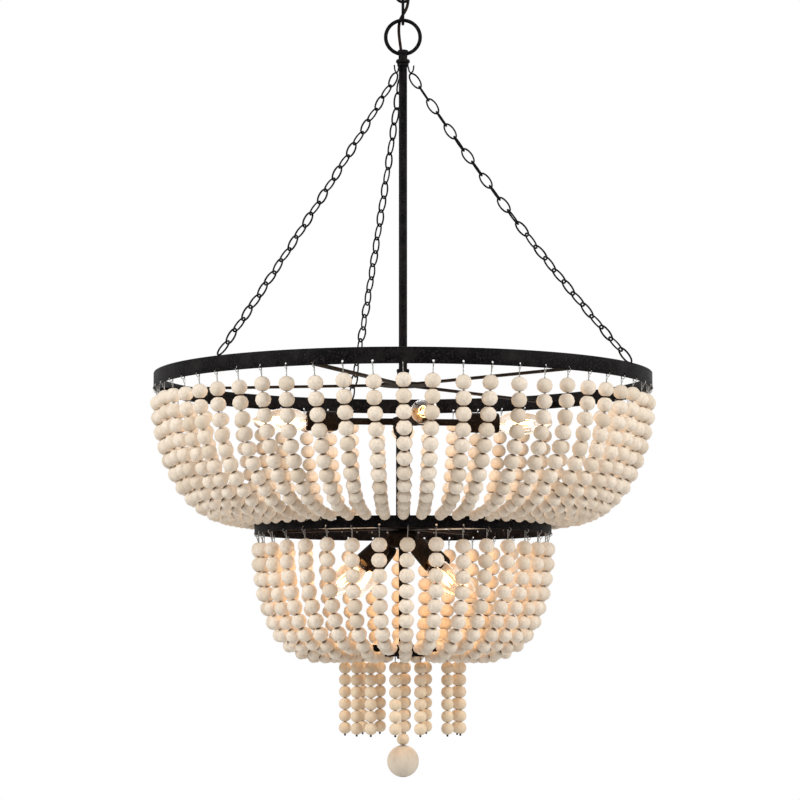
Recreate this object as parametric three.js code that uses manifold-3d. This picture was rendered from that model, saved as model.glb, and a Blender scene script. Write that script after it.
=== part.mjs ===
import * as THREE from "three";
import { mergeVertices } from "three/addons/utils/BufferGeometryUtils.js";
import Module from "manifold-3d";

// Three-tier beaded chandelier on a short suspension chain, in millimetres.
// The origin is the middle of the ceiling face of its mounting bar, +Z is up and -Y faces the viewer.

// Clearances between pieces, and how far a cut runs past what it cuts
const gap = 0.3;
const boreGap = 0.3;
const cutOverrun = 2;

// Mounting bar and its two screws, mostly hidden in the canopy
const barLength = 110;
const barWidth = 25;
const barThickness = 2.5;
const screwSpacing = 76;
const screwRadius = 2;
const screwHeadRadius = 5;
const screwHeadHeight = 5;

// Ceiling canopy, a shallow spun dish
const canopyRadius = 63.5;
const canopyHeight = 25;
const canopyWall = 1.2;
const canopyRim = 4;
const canopyFlatRadius = 46;
const canopySideShares = [
  [0.97, 0.4],
  [0.87, 0.82],
];

// Canopy loop with its threaded nipple and its flange
const nippleRadius = 5;
const flangeRadius = 9;
const flangeThickness = 3.4;
const loopNeck = 1.5;
const canopyLoopRadius = 9;

// Suspension links and the ring that they carry
const linkWire = 4;
const linkLength = 38;
const linkWidth = 22;
const ringWire = 5;
const ringRadius = 22.8;

// Supply cord, threaded through the suspension from the canopy to the cup in the ring
const cordDiameter = 4;
const cordExit = 14;
const cordPoints = [
  [cordExit, 0, -14],
  [cordExit, 0, -35],
  [13.3, 0.8, -45],
  [11.3, 2.6, -55],
  [9.3, 4.4, -65],
  [8, 5.4, -74],
  [7.5, 5.7, -84],
  [7.5, 5.7, -94],
  [7.1, 5.6, -103],
  [5.9, 5.1, -111],
  [3.4, 4.6, -118],
  [-0.4, 4.4, -124.5],
  [-3.8, 5.1, -131],
  [-5.2, 5.5, -138],
  [-5.4, 4.2, -147],
  [-4.7, 2, -156],
  [-3.6, 0.5, -165],
];
const cordFootOffset = -2.6;
const cordSteps = 20;

// Cup under the ring, and the collar below it
const cupRadius = 7;
const cupNeckRadius = 5.85;
const cupHeight = 11.9;
const cupLip = 5;
const cupAboveWire = 2.6;
const collarRadius = 9.3;
const collarEdge = 7.4;
const collarHeight = 5.6;

// Central rod from the cup down to the nut, and how far it runs on below the lowest hub plate
const rodRadius = 5.5;
const rodTail = 5.2;

// Washer with three wire hooks that carries the guy chains
const washerRadius = 7.6;
const washerThickness = 3.6;
const hookWire = 2;
const hookReach = 11;
const hookDrop = 9.8;
const hookSeatShare = 0.55;
const hookLineShares = [
  [0, 0],
  [0.18, 0.45],
  [0.33, 0.86],
  [hookSeatShare, 1],
  [0.84, 0.84],
  [1, 0.2],
];

// Guy chains, from the hooks out to the upper hoop
const chainPlaces = [
  { side: "left", azimuth: 226.2 },
  { side: "right", azimuth: 331.2 },
  { side: "back", azimuth: 103.2 },
];
const chainLinks = 24;
const chainWidth = 13;
const chainWire = 2.2;
const chainSag = 12;
const chainShoulderShare = 0.5;

// Hoops of the three tiers. The drop is from the ceiling face to the hoop's top edge.
const upperHoop = { radius: 325, height: 20, thickness: 2.5, drop: 606.1, sides: 56 };
const middleHoop = { radius: 193, height: 15, thickness: 2.5, drop: 799.2, sides: 34 };
const lowerHoop = { radius: 76, height: 15, thickness: 2.2, drop: 957.2, sides: 20 };

// Hub plates with flat spokes that hold the hoops on the rod
const upperSpokes = { plateRadius: 31, width: 11, thickness: 3, drop: 617.1, azimuths: [316, 50, 171, 247] };
const middleSpokes = { plateRadius: 31, width: 11, thickness: 3, drop: 804.8, azimuths: [-30, 60, 150, 240] };
const lowerSpokes = { plateRadius: 18, width: 9, thickness: 3, drop: 962.7, azimuths: [-30, 90, 210] };

// Collar on the rod above the upper hub plate, tube round the rod below it, and nut under the rod
const couplingRadius = 8.35;
const couplingHeight = 19;
const tubeRadius = 9.1;
const nutRadius = 8;
const nutHeight = 4;

// Light clusters: a hub on the rod, and round arms with a lamp at the end of each
const upperCluster = {
  hubRadius: 15,
  hubHeight: 13,
  drop: 667,
  azimuths: [-80, 8, 90, 188],
  slope: 0,
  lampStart: 84.5,
};
const lowerCluster = {
  hubRadius: 20,
  hubHeight: 22,
  drop: 820,
  azimuths: [-54, 36, 126, 216],
  slope: 37,
  lampStart: 39.4,
};
const armRadius = 4.4;

// Lamp holders and candelabra lamps
const socketRadius = 13;
const socketLength = 42;
const socketWall = 1.5;
const socketDepth = 20;
const lampBaseRadius = 6;
const lampBaseLength = 18;
const glassRadius = 16;
const glassLength = 71;
const glassOutlineShares = [
  [0.97, 0.22],
  [0.9, 0.58],
  [0.4, 0.88],
];

// Bead strands of the two upper tiers. Each follows a line from the hoop above it to the hoop below, and
// its beads get smaller towards the foot after the full ones.
const upperStrands = {
  count: 56,
  azimuth: -90,
  beads: 13,
  fullBeads: 7,
  beadLength: 19.1,
  beadDiameter: 20,
  footBeadDiameter: 14,
  leader: 12.5,
  footInset: 2.5,
  crowding: 0,
};
const upperLineShares = [
  [0, 0],
  [0.005, 0.125],
  [0.044, 0.335],
  [0.127, 0.537],
  [0.273, 0.734],
  [0.475, 0.885],
  [0.748, 0.964],
  [0.898, 0.978],
  [1, 1],
];
const middleStrands = {
  count: 34,
  azimuth: -88.2,
  beads: 12,
  fullBeads: 7,
  beadLength: 19.1,
  beadDiameter: 20,
  footBeadDiameter: 13.5,
  leader: 14,
  footInset: 7.5,
  crowding: 5.5,
};
const middleLineShares = [
  [0, 0],
  [0, 0.162],
  [0.011, 0.287],
  [0.065, 0.534],
  [0.177, 0.768],
  [0.258, 0.877],
  [0.38, 0.961],
  [0.533, 1.006],
  [0.7, 1.023],
  [0.866, 1.02],
  [1, 1],
];
const crowdingStartShare = 0.62;
const crowdingFullShare = 0.88;
const strandWire = 1.8;
const strandHoleInset = 2.5;
const hangerWidth = 2.4;
const hangerHeight = 2;

// Short strands that swing under the lowest hoop, and the long one in the middle that ends in a ball
const dropStrands = { beads: 6, beadDiameter: 16, beadLength: 15.4, leader: 6.3 };
const dropAzimuths = [-97.5, -73, -41, -10, 20, 66, 88, 114, 135, 182, 218, 237];
const pendantStrand = { beads: 7, beadDiameter: 16, beadLength: 15.4, leader: 2.6 };
const crimpLength = 3;
const ballRadius = 20.5;
const ballRingShares = [
  [0.7, 0.15],
  [1, 0.5],
  [0.7, 0.85],
];

// Facet counts
const wireSides = 5;
const hookSides = 4;
const loopSteps = 12;
const ringSteps = 16;
const plateSides = 12;
const lampSides = 6;
const socketSides = 8;
const holeSides = 8;
const cordSides = 8;
const beadSides = 3;
const dropSides = 4;
const ballSides = 8;

// Places worked out from the sizes above
const linkPitch = linkLength - linkWire;
const canopyFoot = -canopyHeight;
const flangeFoot = canopyFoot - gap - flangeThickness;
const loopCentre = flangeFoot - loopNeck - canopyLoopRadius;
const loopFoot = loopCentre - canopyLoopRadius;
const linkStep = linkPitch - linkWire - gap;
const firstLinkTop = loopFoot + linkWire + gap;
const lastLinkFoot = firstLinkTop - 2 * linkStep - linkPitch;
const ringCentre = lastLinkFoot + (linkWire + ringWire) / 2 + gap - ringRadius;
const cupTop = ringCentre - ringRadius + ringWire / 2 + cupAboveWire;
const cupFoot = cupTop - cupHeight;
const collarTop = cupFoot - gap;
const washerTop = collarTop - collarHeight - gap;
const washerFoot = washerTop - washerThickness;
const rodFoot = -lowerSpokes.drop - lowerSpokes.thickness - rodTail;
const boreRadius = rodRadius + boreGap;
const hookStart = washerRadius - hookWire / 2;
const hookTip = rodRadius + hookReach;
const hookStartZ = washerTop - washerThickness / 2;
const hookSeatZ = washerFoot - hookDrop;

const bronze = (color) => new THREE.MeshStandardMaterial({ color, roughness: 0.62, metalness: 0.85 });
const paleWood = (color) => new THREE.MeshStandardMaterial({ color, roughness: 0.8, metalness: 0 });
const cordCover = (color) => new THREE.MeshStandardMaterial({ color, roughness: 0.7, metalness: 0 });

function clearGlass(color) {
  const look = { color, roughness: 0.08, metalness: 0, transparent: true, opacity: 0.4 };
  return new THREE.MeshStandardMaterial(look);
}

const blackBronze = 0x231e1e;
const brownBronze = 0x34261f;
const whitewash = 0xe1d2be;
const warmGlass = 0xffdfae;
const cordBrown = 0x4a3524;

const wasm = await Module();
wasm.setup();

const chandelier = new THREE.Group();

function addPart(name, geometry, material) {
  const mesh = new THREE.Mesh(geometry, material);
  mesh.name = name;
  chandelier.add(mesh);
  return mesh;
}

// Joins and cuts
function solidOf(geometry) {
  const bare = geometry.clone();
  bare.deleteAttribute("normal");
  bare.deleteAttribute("uv");
  const merged = mergeVertices(bare);
  const vertProperties = merged.getAttribute("position").array;
  return new wasm.Manifold(new wasm.Mesh({ numProp: 3, vertProperties, triVerts: merged.index.array }));
}

function geometryOf(solid) {
  const mesh = solid.getMesh();
  const geometry = new THREE.BufferGeometry();
  geometry.setAttribute("position", new THREE.BufferAttribute(mesh.vertProperties, 3));
  geometry.setIndex(new THREE.BufferAttribute(mesh.triVerts, 1));
  return geometry;
}

function joined(geometries) {
  return geometries.map(solidOf).reduce((whole, next) => whole.add(next));
}

// Surfaces made of rings of points. Each ring runs anticlockwise seen from the end that the surface grows to.
function stitch(faces, from, to) {
  let i = 0;
  let j = 0;
  while (i < from.length || j < to.length) {
    const stepFrom = j === to.length || (i < from.length && (i + 1) * to.length <= (j + 1) * from.length);
    const p = from[i % from.length];
    const q = to[j % to.length];
    if (stepFrom) {
      i += 1;
      faces.push(p, from[i % from.length], q);
    } else {
      j += 1;
      faces.push(p, to[j % to.length], q);
    }
  }
}

function cap(faces, ring) {
  for (let i = 1; i < ring.length - 1; i += 1) {
    faces.push(ring[0], ring[i], ring[i + 1]);
  }
}

function skin(faces, rings) {
  for (let i = 1; i < rings.length; i += 1) {
    stitch(faces, rings[i - 1], rings[i]);
  }
}

function strip(faces, from, to) {
  for (let i = 1; i < from.length; i += 1) {
    faces.push(from[i - 1], from[i], to[i - 1]);
    faces.push(from[i], to[i], to[i - 1]);
  }
}

function surfaceOf(faces) {
  return new THREE.BufferGeometry().setFromPoints(faces);
}

function closedRod(rings) {
  const faces = [];
  cap(faces, [...rings[0]].reverse());
  skin(faces, rings);
  cap(faces, rings[rings.length - 1]);
  return surfaceOf(faces);
}

function closedLoop(rings) {
  const faces = [];
  skin(faces, [...rings, rings[0]]);
  return surfaceOf(faces);
}

// A ring of points round a centre and square to a direction. Its first point lies on the side of "out".
function section(centre, direction, out, radius, sides) {
  const along = direction.clone().normalize();
  const v = out.clone().addScaledVector(along, -out.dot(along)).normalize();
  const u = v.clone().cross(along);
  return Array.from({ length: sides }, (_, index) => {
    const angle = Math.PI / 2 + (index * 2 * Math.PI) / sides;
    const point = centre.clone().addScaledVector(u, radius * Math.cos(angle));
    return point.addScaledVector(v, radius * Math.sin(angle));
  });
}

function polar(radius, azimuth, z) {
  const angle = THREE.MathUtils.degToRad(azimuth);
  return new THREE.Vector3(radius * Math.cos(angle), radius * Math.sin(angle), z);
}

// Turned pieces. A profile is a list of [radius, height] that runs up the outside.
function turned(profile, sides) {
  const points = profile.map(([radius, height]) => new THREE.Vector2(radius, height));
  return new THREE.LatheGeometry(points, sides).rotateX(Math.PI / 2);
}

function disc(radius, foot, top, sides) {
  return turned([[0, foot], [radius, foot], [radius, top], [0, top]], sides);
}

function sleeve(innerRadius, outline, sides) {
  const foot = [innerRadius, outline[0][1]];
  const top = [innerRadius, outline[outline.length - 1][1]];
  return turned([foot, ...outline, top, foot], sides);
}

function rodBore(foot, top) {
  return solidOf(disc(boreRadius, foot - cutOverrun, top + cutOverrun, plateSides));
}

// Ceiling fixings
function mountingBar() {
  return new THREE.BoxGeometry(barLength, barWidth, barThickness).translate(0, 0, -barThickness / 2);
}

function canopySide(inset) {
  const radius = canopyRadius - inset;
  const fall = canopyHeight - canopyRim - inset;
  const bend = canopySideShares.map(([across, down]) => [radius * across, -canopyRim - fall * down]);
  return [[radius, 0], [radius, -canopyRim], ...bend, [canopyFlatRadius, inset - canopyHeight]];
}

function canopy() {
  const outside = canopySide(0).reverse();
  const inside = canopySide(canopyWall);
  const shell = turned([[0, canopyFoot], ...outside, ...inside, [0, canopyFoot + canopyWall]], ringSteps);
  const hole = (radius, x) => {
    const reach = (radius + boreGap) / Math.cos(Math.PI / holeSides);
    const drill = disc(reach, canopyFoot - cutOverrun, canopyFoot + canopyWall + cutOverrun, holeSides);
    return solidOf(drill.translate(x, 0, 0));
  };
  const holes = [
    hole(nippleRadius, 0),
    hole(cordDiameter / 2, cordExit),
    hole(screwRadius, screwSpacing / 2),
    hole(screwRadius, -screwSpacing / 2),
  ];
  return geometryOf(holes.reduce((rest, next) => rest.subtract(next), solidOf(shell)));
}

function canopyScrew() {
  const headTop = canopyFoot - gap;
  const headFoot = headTop - screwHeadHeight;
  const shankTop = -barThickness - gap;
  const profile = [
    [0, headFoot],
    [screwHeadRadius - screwRadius, headFoot],
    [screwHeadRadius, headFoot + screwRadius],
    [screwHeadRadius, headTop],
    [screwRadius, headTop],
    [screwRadius, shankTop],
    [0, shankTop],
  ];
  return turned(profile, lampSides);
}

// Suspension
function wireLoop(straight, radius, wire, steps) {
  const rings = [];
  const stops = straight > 0 ? steps / 2 + 1 : steps / 2;
  for (const half of [0, 1]) {
    for (let stop = 0; stop < stops; stop += 1) {
      const angle = half * Math.PI + (stop * 2 * Math.PI) / steps;
      const out = new THREE.Vector3(Math.cos(angle), 0, Math.sin(angle));
      const direction = new THREE.Vector3(-Math.sin(angle), 0, Math.cos(angle));
      const centre = out.clone().multiplyScalar(radius);
      centre.z += half ? -straight / 2 : straight / 2;
      rings.push(section(centre, direction, out, wire / 2, wireSides));
    }
  }
  return closedLoop(rings);
}

function canopyLoop() {
  const pieces = [
    wireLoop(0, canopyLoopRadius, linkWire, loopSteps).translate(0, 0, loopCentre),
    disc(flangeRadius, flangeFoot, flangeFoot + flangeThickness, plateSides),
    disc(nippleRadius, flangeFoot + flangeThickness / 2, -barThickness - gap, plateSides),
  ];
  return geometryOf(joined(pieces));
}

function suspensionLink() {
  return wireLoop(linkLength - linkWidth, (linkWidth - linkWire) / 2, linkWire, loopSteps);
}

function powerCord() {
  const end = [cordFootOffset, 0, cupTop + gap];
  const points = [...cordPoints, end].map(([x, y, z]) => new THREE.Vector3(x, y, z));
  const outline = new THREE.Shape(
    Array.from({ length: cordSides }, (_, index) => {
      const angle = (index * 2 * Math.PI) / cordSides;
      return new THREE.Vector2(Math.cos(angle), Math.sin(angle)).multiplyScalar(cordDiameter / 2);
    }),
  );
  const extrudePath = new THREE.CatmullRomCurve3(points);
  return new THREE.ExtrudeGeometry(outline, { steps: cordSteps, extrudePath, bevelEnabled: false });
}

function topRing() {
  const ring = wireLoop(0, ringRadius, ringWire, ringSteps).translate(0, 0, ringCentre);
  const cup = turned(
    [
      [0, cupFoot],
      [cupNeckRadius, cupFoot],
      [cupNeckRadius, cupTop - cupLip],
      [cupRadius, cupTop - cupLip],
      [cupRadius, cupTop],
      [0, cupTop],
    ],
    plateSides,
  );
  return geometryOf(joined([ring, cup]));
}

function topCollar() {
  const foot = collarTop - collarHeight;
  const outline = [
    [collarEdge, foot],
    [collarRadius, foot + collarHeight / 2],
    [collarEdge, collarTop],
  ];
  return sleeve(boreRadius, outline, plateSides);
}

function chainHook(azimuth) {
  const line = hookLineShares.map(([across, down]) => {
    const radius = THREE.MathUtils.lerp(hookStart, hookTip, across);
    return polar(radius, azimuth, THREE.MathUtils.lerp(hookStartZ, hookSeatZ, down));
  });
  const side = polar(1, azimuth + 90, 0);
  const rings = line.map((point, index) => {
    const before = line[Math.max(index - 1, 0)];
    const after = line[Math.min(index + 1, line.length - 1)];
    return section(point, after.clone().sub(before), side, hookWire / 2, hookSides);
  });
  return closedRod(rings);
}

function chainHooks() {
  const washer = sleeve(boreRadius, [[washerRadius, washerFoot], [washerRadius, washerTop]], plateSides);
  return geometryOf(joined([washer, ...chainPlaces.map(({ azimuth }) => chainHook(azimuth))]));
}

// Guy chain: links drawn as open loops that stand crosswise and share a small four-faced knot at each joint
function chainLine(azimuth) {
  const knot = chainWire / 2;
  const seatRadius = THREE.MathUtils.lerp(hookStart, hookTip, hookSeatShare);
  const top = polar(seatRadius, azimuth, hookSeatZ - hookWire / 2 - gap - knot);
  const footZ = Math.SQRT2 * knot + gap - upperHoop.drop;
  const foot = polar(upperHoop.radius - upperHoop.thickness / 2, azimuth, footZ);
  return Array.from({ length: chainLinks + 1 }, (_, index) => {
    const t = index / chainLinks;
    const point = top.clone().lerp(foot, t);
    point.z -= 4 * chainSag * t * (1 - t);
    return point;
  });
}

function chain(azimuth) {
  const knot = chainWire / 2;
  const points = chainLine(azimuth);
  const across = polar(1, azimuth + 90, 0);
  const directions = points.map((_, index) => {
    const before = points[Math.max(index - 1, 0)];
    const after = points[Math.min(index + 1, chainLinks)];
    return after.clone().sub(before).normalize();
  });
  const sideAt = (index, quarter) => {
    const down = directions[index].clone().cross(across);
    const signed = quarter % 4 < 2 ? 1 : -1;
    return (quarter % 2 ? down : across.clone()).multiplyScalar(signed);
  };
  const corner = (index, quarter, lift) => {
    const point = points[index].clone().addScaledVector(sideAt(index, quarter), knot);
    return point.addScaledVector(directions[index], lift);
  };
  const knotRing = (index, quarter, lift) => [
    corner(index, quarter, -lift),
    corner(index, quarter + 1, lift),
    corner(index, quarter + 3, lift),
  ];
  const faces = [];
  for (let index = 0; index < chainLinks; index += 1) {
    for (const quarter of [index, index + 2]) {
      const side = sideAt(index, quarter);
      const along = points[index + 1].clone().sub(points[index]);
      const shoulder = (share) => {
        const centre = points[index].clone().addScaledVector(along, share);
        centre.addScaledVector(side, (chainWidth - chainWire) / 2);
        return section(centre, along, side, knot, beadSides);
      };
      const shoulders = [shoulder(chainShoulderShare)];
      skin(faces, [knotRing(index, quarter, knot), ...shoulders, knotRing(index + 1, quarter, -knot)]);
    }
  }
  for (const quarter of [0, 2]) {
    cap(faces, knotRing(0, quarter + 1, -knot).reverse());
    cap(faces, knotRing(chainLinks, quarter + chainLinks, knot));
  }
  return surfaceOf(faces);
}

// Hoops, spokes and hubs
function hoop({ radius, height, thickness, drop, sides }) {
  return sleeve(radius - thickness, [[radius, -drop - height], [radius, -drop]], sides);
}

function innerFlat({ radius, thickness, sides }) {
  return (radius - thickness) * Math.cos(Math.PI / sides);
}

function spokes({ plateRadius, width, thickness, drop, azimuths }, rim) {
  const reach = innerFlat(rim) - gap;
  const foot = -drop - thickness;
  const bar = (azimuth) => {
    const flat = new THREE.BoxGeometry(reach - boreRadius, width, thickness);
    flat.translate((reach + boreRadius) / 2, 0, foot + thickness / 2);
    return flat.rotateZ(THREE.MathUtils.degToRad(azimuth));
  };
  const plate = disc(plateRadius, foot, -drop, plateSides);
  return geometryOf(joined([plate, ...azimuths.map(bar)]).subtract(rodBore(foot, -drop)));
}

function rodCoupling() {
  const foot = gap - upperSpokes.drop;
  return sleeve(boreRadius, [[couplingRadius, foot], [couplingRadius, foot + couplingHeight]], plateSides);
}

function spacerTube() {
  const foot = gap - middleSpokes.drop;
  const top = -upperCluster.drop - upperCluster.hubHeight / 2 - gap;
  return sleeve(boreRadius, [[tubeRadius, foot], [tubeRadius, top]], plateSides);
}

function rodNut() {
  return disc(nutRadius, rodFoot - gap - nutHeight, rodFoot - gap, lampSides);
}

// Light clusters. The line of each arm meets the axis of the rod at the height of its lamp matrix.
function clusterMatrix({ hubRadius, drop, slope }, azimuth) {
  const tilt = THREE.MathUtils.degToRad(slope);
  const turn = THREE.MathUtils.degToRad(azimuth);
  const lift = new THREE.Matrix4().makeTranslation(0, 0, hubRadius * Math.tan(tilt) - drop);
  const swing = new THREE.Matrix4().makeRotationZ(turn);
  const lean = new THREE.Matrix4().makeRotationY(Math.PI / 2 + tilt);
  return lift.multiply(swing).multiply(lean);
}

function lightHub(cluster) {
  const { hubRadius, hubHeight, drop, slope, azimuths, lampStart } = cluster;
  const foot = -drop - hubHeight / 2;
  const top = foot + hubHeight;
  const armStart = hubRadius / Math.cos(THREE.MathUtils.degToRad(slope)) - armRadius;
  const arms = azimuths.map((azimuth) =>
    disc(armRadius, armStart, lampStart - gap, lampSides).applyMatrix4(clusterMatrix(cluster, azimuth)),
  );
  return geometryOf(joined([disc(hubRadius, foot, top, plateSides), ...arms]).subtract(rodBore(foot, top)));
}

function socket() {
  return turned(
    [
      [0, 0],
      [socketRadius, 0],
      [socketRadius, socketLength],
      [socketRadius - socketWall, socketLength],
      [socketRadius - socketWall, socketLength - socketDepth],
      [0, socketLength - socketDepth],
    ],
    socketSides,
  );
}

function lamp() {
  const glass = glassOutlineShares.map(([across, up]) => {
    return [glassRadius * across, socketDepth + glassLength * up];
  });
  return turned(
    [
      [0, gap],
      [lampBaseRadius, gap],
      [lampBaseRadius, gap + lampBaseLength],
      ...glass,
      [0, socketDepth + glassLength],
    ],
    lampSides,
  );
}

function addCluster(cluster, tier) {
  addPart(tier + "_light_hub", lightHub(cluster), bronze(brownBronze));
  cluster.azimuths.forEach((azimuth, index) => {
    const arm = clusterMatrix(cluster, azimuth);
    const along = (distance) => {
      return arm.clone().multiply(new THREE.Matrix4().makeTranslation(0, 0, distance));
    };
    const holder = addPart(tier + "_socket_" + (index + 1), socket(), bronze(brownBronze));
    holder.applyMatrix4(along(cluster.lampStart));
    const bulb = addPart(tier + "_bulb_" + (index + 1), lamp(), clearGlass(warmGlass));
    bulb.applyMatrix4(along(cluster.lampStart + socketLength - socketDepth));
  });
}

// Bead strands of the upper tiers. A thin triangular hanger behind the hoop carries the strands of a tier.
function strandLine(strands, shares, above, below) {
  const start = innerFlat(above) - gap - hangerWidth / 2;
  const end = below.radius + gap + strandWire / 2;
  const top = strandHoleInset - above.drop - above.height;
  const foot = -below.drop - strands.footInset;
  const points = shares.map(([across, down]) => {
    const x = THREE.MathUtils.lerp(start, end, across);
    return new THREE.Vector3(x, 0, THREE.MathUtils.lerp(top, foot, down));
  });
  return new THREE.CatmullRomCurve3(points, false, "centripetal");
}

// The places along a strand where it is at its thinnest and, in between, where a bead is at its widest
function strandStations({ beads, fullBeads, beadLength, beadDiameter, footBeadDiameter, leader }) {
  const stations = [{ distance: leader, diameter: 0 }];
  let distance = leader;
  for (let bead = 1; bead <= beads; bead += 1) {
    const shrink = Math.max(bead - fullBeads, 0) / (beads - fullBeads);
    const diameter = THREE.MathUtils.lerp(beadDiameter, footBeadDiameter, shrink);
    const length = (beadLength * diameter) / beadDiameter;
    stations.push({ distance: distance + length / 2, diameter });
    distance += length;
    stations.push({ distance, diameter: 0 });
  }
  return stations;
}

function strandRings(strands, line, index) {
  const turn = strands.azimuth + (index * 360) / strands.count;
  const side = polar(1, turn + 90, 0);
  const length = line.getLength();
  const ringAt = (share, diameter) => {
    const here = line.getPointAt(share);
    const tangent = line.getTangentAt(share);
    const press = THREE.MathUtils.smoothstep(share, crowdingStartShare, crowdingFullShare);
    const lift = strands.crowding * press * (index % 2 ? 1 : -1);
    const direction = polar(tangent.x, turn, tangent.z);
    const out = direction.clone().cross(side);
    const beadCircle = diameter / (2 * Math.sin(Math.PI / beadSides));
    const shift = (beadCircle - beadCircle * Math.cos(Math.PI / beadSides)) / 2;
    const centre = polar(here.x, turn, here.z + lift).addScaledVector(out, -shift);
    return section(centre, direction, out, Math.max(beadCircle, strandWire / 2), beadSides);
  };
  const rings = strandStations(strands).map(({ distance, diameter }) => {
    return ringAt(Math.min(distance / length, 1), diameter);
  });
  return [...rings, ringAt(1, 0)];
}

function strandTier(strands, shares, above, below) {
  const { count, azimuth } = strands;
  const line = strandLine(strands, shares, above, below);
  const start = line.getPointAt(0);
  const inner = start.x - hangerWidth / 2;
  const outer = start.x + hangerWidth / 2;
  const halfWidth = THREE.MathUtils.radToDeg(hangerWidth / 2 / start.x);
  const hangerCorners = (turn) => ({
    innerFoot: polar(inner, turn, start.z),
    ridge: polar(start.x, turn, start.z + hangerHeight),
    outerFoot: polar(outer, turn, start.z),
  });
  const faces = [];
  for (let index = 0; index < count; index += 1) {
    const turn = azimuth + (index * 360) / count;
    const a = hangerCorners(turn - halfWidth);
    const b = hangerCorners(turn + halfWidth);
    const c = hangerCorners(azimuth + ((index + 1) * 360) / count - halfWidth);
    strip(faces, [a.innerFoot, a.ridge, a.outerFoot], [b.innerFoot, b.ridge, b.outerFoot]);
    skin(faces, [[b.innerFoot, b.ridge, b.outerFoot], [c.innerFoot, c.ridge, c.outerFoot]]);
    const rings = strandRings(strands, line, index);
    skin(faces, [[a.outerFoot, a.innerFoot, b.innerFoot, b.outerFoot], ...rings]);
    cap(faces, rings[rings.length - 1]);
  }
  return surfaceOf(faces);
}

// Strands that hang free, drawn from their top down along -Z
function hangingStrand({ beads, beadDiameter, beadLength, leader }, ending, sides) {
  const wire = strandWire / 2;
  const foot = -leader - beads * beadLength;
  const profile = ending.map(([radius, below]) => [radius, foot - below]);
  for (let index = beads - 1; index >= 0; index -= 1) {
    const top = -leader - index * beadLength;
    profile.push([wire, top - beadLength], [beadDiameter / 2, top - beadLength / 2]);
  }
  return turned([...profile, [wire, -leader], [wire, 0], [0, 0]], sides);
}

function dropStrand() {
  return hangingStrand(dropStrands, [[0, crimpLength], [strandWire / 2, crimpLength]], dropSides);
}

function pendant() {
  const ball = ballRingShares.map(([across, up]) => [ballRadius * across, 2 * ballRadius * (1 - up)]);
  return hangingStrand(pendantStrand, [[0, 2 * ballRadius], ...ball], ballSides);
}

function addCeilingSet() {
  addPart("mounting_bar", mountingBar(), bronze(blackBronze));
  addPart("canopy", canopy(), bronze(blackBronze));
  addPart("canopy_screw_left", canopyScrew(), bronze(blackBronze)).position.x = -screwSpacing / 2;
  addPart("canopy_screw_right", canopyScrew(), bronze(blackBronze)).position.x = screwSpacing / 2;
  addPart("canopy_loop", canopyLoop(), bronze(blackBronze));
  for (const index of [0, 1, 2]) {
    const link = addPart("suspension_link_" + (index + 1), suspensionLink(), bronze(blackBronze));
    link.position.z = firstLinkTop - linkPitch / 2 - index * linkStep;
    link.rotation.z = index % 2 ? 0 : Math.PI / 2;
  }
  addPart("power_cord", powerCord(), cordCover(cordBrown));
}

function addFrame() {
  addPart("top_ring", topRing(), bronze(blackBronze));
  addPart("top_collar", topCollar(), bronze(blackBronze));
  addPart("chain_hooks", chainHooks(), bronze(blackBronze));
  addPart("centre_rod", disc(rodRadius, rodFoot, collarTop, plateSides), bronze(blackBronze));
  for (const { side, azimuth } of chainPlaces) {
    addPart("chain_" + side, chain(azimuth), bronze(blackBronze));
  }
  addPart("rod_coupling", rodCoupling(), bronze(blackBronze));
  addPart("spacer_tube", spacerTube(), bronze(blackBronze));
  addPart("upper_hoop", hoop(upperHoop), bronze(blackBronze));
  addPart("upper_spokes", spokes(upperSpokes, upperHoop), bronze(blackBronze));
  addPart("middle_hoop", hoop(middleHoop), bronze(blackBronze));
  addPart("middle_spokes", spokes(middleSpokes, middleHoop), bronze(blackBronze));
  addPart("lower_hoop", hoop(lowerHoop), bronze(blackBronze));
  addPart("lower_spokes", spokes(lowerSpokes, lowerHoop), bronze(blackBronze));
  addPart("rod_nut", rodNut(), bronze(blackBronze));
}

function addBeads() {
  const upperTier = strandTier(upperStrands, upperLineShares, upperHoop, middleHoop);
  addPart("upper_strands", upperTier, paleWood(whitewash));
  const middleTier = strandTier(middleStrands, middleLineShares, middleHoop, lowerHoop);
  addPart("middle_strands", middleTier, paleWood(whitewash));
  dropAzimuths.forEach((azimuth, index) => {
    const strand = addPart("drop_strand_" + (index + 1), dropStrand(), paleWood(whitewash));
    strand.position.copy(
      polar(lowerHoop.radius - lowerHoop.thickness / 2, azimuth, -lowerHoop.drop - lowerHoop.height - gap),
    );
    strand.rotation.z = THREE.MathUtils.degToRad(azimuth);
  });
  addPart("pendant_strand", pendant(), paleWood(whitewash)).position.z = rodFoot - nutHeight - 2 * gap;
}

addCeilingSet();
addFrame();
addCluster(upperCluster, "upper");
addCluster(lowerCluster, "lower");
addBeads();

export default chandelier;
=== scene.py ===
# Beaded chandelier: finished pieces, materials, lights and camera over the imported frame. Sizes are in metres.
import math
import random

import bpy
from mathutils import Matrix, Vector


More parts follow.
